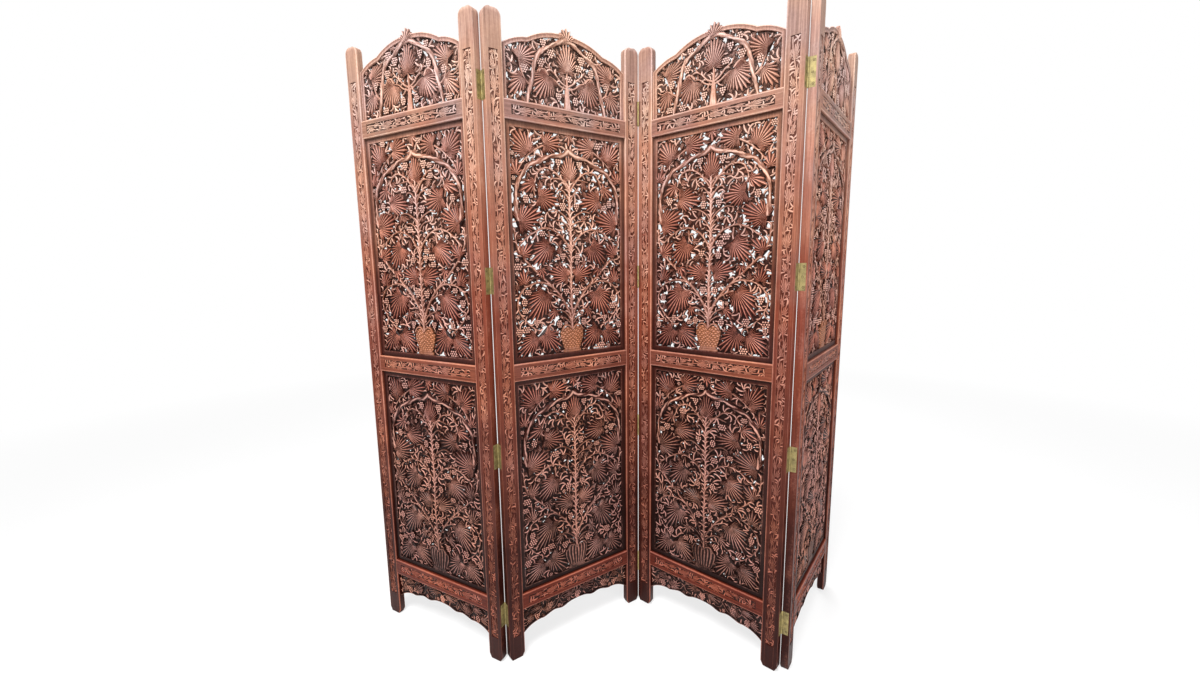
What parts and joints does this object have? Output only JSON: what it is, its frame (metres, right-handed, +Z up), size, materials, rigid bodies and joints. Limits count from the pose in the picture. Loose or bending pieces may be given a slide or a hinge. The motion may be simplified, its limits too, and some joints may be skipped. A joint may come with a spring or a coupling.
{
  "type": "carved jali folding screen",
  "caption": "Freestanding folding room divider of hinged hardwood panels with pierced grapevine jali boards, carved crests and aprons.",
  "frame": {"origin": "on the floor, under the middle of the screen's bounding box at rest", "axes": "+Z up, +X along the screen to the right as seen from its front, +Y from the front to the back"},
  "size_m": [1.5746, 0.4244, 1.832],
  "materials": {
    "frame_wood": "stained hardwood, satin, worn lighter on the edges",
    "carved_wood": "dark stained hardwood, satin, rubbed on the carved ridges",
    "brass": "aged, dull"
  },
  "bodies": {
    "panel_1": {"panel_1_left_stile": "frame_wood", "panel_1_right_stile": "frame_wood", "panel_1_bottom_rail": "frame_wood", "panel_1_middle_rail": "frame_wood", "panel_1_top_rail": "frame_wood", "panel_1_upper_jali": "carved_wood", "panel_1_lower_jali": "carved_wood", "panel_1_crest": "carved_wood", "panel_1_apron": "carved_wood", "fold_1_left_leaves": "brass", "fold_1_pins": "brass"},
    "panel_2": {"panel_2_left_stile": "frame_wood", "panel_2_right_stile": "frame_wood", "panel_2_bottom_rail": "frame_wood", "panel_2_middle_rail": "frame_wood", "panel_2_top_rail": "frame_wood", "panel_2_upper_jali": "carved_wood", "panel_2_lower_jali": "carved_wood", "panel_2_crest": "carved_wood", "panel_2_apron": "carved_wood", "fold_1_right_leaves": "brass", "fold_2_left_leaves": "brass", "fold_2_pins": "brass"},
    "panel_3": {"panel_3_left_stile": "frame_wood", "panel_3_right_stile": "frame_wood", "panel_3_bottom_rail": "frame_wood", "panel_3_middle_rail": "frame_wood", "panel_3_top_rail": "frame_wood", "panel_3_upper_jali": "carved_wood", "panel_3_lower_jali": "carved_wood", "panel_3_crest": "carved_wood", "panel_3_apron": "carved_wood", "fold_2_right_leaves": "brass", "fold_3_left_leaves": "brass", "fold_3_pins": "brass"},
    "panel_4": {"panel_4_left_stile": "frame_wood", "panel_4_right_stile": "frame_wood", "panel_4_bottom_rail": "frame_wood", "panel_4_middle_rail": "frame_wood", "panel_4_top_rail": "frame_wood", "panel_4_upper_jali": "carved_wood", "panel_4_lower_jali": "carved_wood", "panel_4_crest": "carved_wood", "panel_4_apron": "carved_wood", "fold_3_right_leaves": "brass"}
  },
  "joints": [
    {"name": "fold_1", "type": "hinge", "parent": "panel_2", "child": "panel_1", "pos_m": [-0.33515, -0.16149, 0], "axis": [0, 0, 1], "range_deg": [-116, 64]},
    {"name": "fold_2", "type": "hinge", "parent": "panel_2", "child": "panel_3", "pos_m": [0.08421, 0.11393, 0], "axis": [0, 0, 1], "range_deg": [-103.4, 76.6]},
    {"name": "fold_3", "type": "hinge", "parent": "panel_3", "child": "panel_4", "pos_m": [0.47905, -0.19562, 0], "axis": [0, 0, 1], "range_deg": [-95.3, 84.7]}
  ]
}
